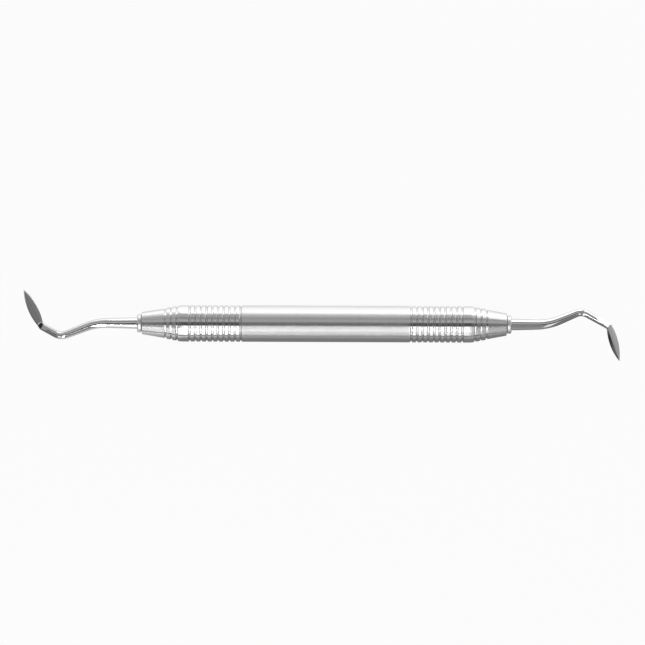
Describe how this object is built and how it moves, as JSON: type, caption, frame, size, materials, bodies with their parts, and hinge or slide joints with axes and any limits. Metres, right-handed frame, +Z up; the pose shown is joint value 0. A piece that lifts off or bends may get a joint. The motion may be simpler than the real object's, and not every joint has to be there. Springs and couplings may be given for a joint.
{
  "type": "clay modeling tool",
  "caption": "Double-ended stainless carving tool: ring-grooved hollow handle, bent round shanks and small spear blades that screw into its tapered noses.",
  "frame": {"origin": "middle of the handle, on its axis", "axes": "X along the handle, +Z up out of the surface that the tool lies on; the left tip is at -X"},
  "size_m": [0.1636, 0.019, 0.01],
  "materials": {
    "satin_steel": "satin, turned",
    "seal": "matt dark grey",
    "polished_steel": "mirror polished",
    "ground_steel": "polished shank, ground blade"
  },
  "bodies": {
    "handle": {"handle_tube": "satin_steel", "left_nose_cone": "satin_steel", "right_nose_cone": "satin_steel"},
    "left_seal": {"left_seal_ring": "seal"},
    "left_tip": {"left_collar": "polished_steel", "left_working_end": "ground_steel"},
    "right_seal": {"right_seal_ring": "seal"},
    "right_tip": {"right_collar": "polished_steel", "right_working_end": "ground_steel"}
  },
  "joints": [
    {"name": "left_tip_advance", "type": "slide", "parent": "handle", "child": "left_seal", "axis": [-1, 0, 0], "range_m": [0, 0.004]},
    {"name": "left_tip_screw", "type": "hinge", "parent": "left_seal", "child": "left_tip", "pos_m": [-0.05024, 0, 0], "axis": [-1, 0, 0], "range_deg": [0, 2880]},
    {"name": "right_tip_advance", "type": "slide", "parent": "handle", "child": "right_seal", "axis": [1, 0, 0], "range_m": [0, 0.004]},
    {"name": "right_tip_screw", "type": "hinge", "parent": "right_seal", "child": "right_tip", "pos_m": [0.05024, 0, 0], "axis": [1, 0, 0], "range_deg": [0, 2880]}
  ],
  "couplings": [
    {"joint": "left_tip_screw", "follows": "left_tip_advance", "rad_per_m": 12566},
    {"joint": "right_tip_screw", "follows": "right_tip_advance", "rad_per_m": 12566}
  ]
}
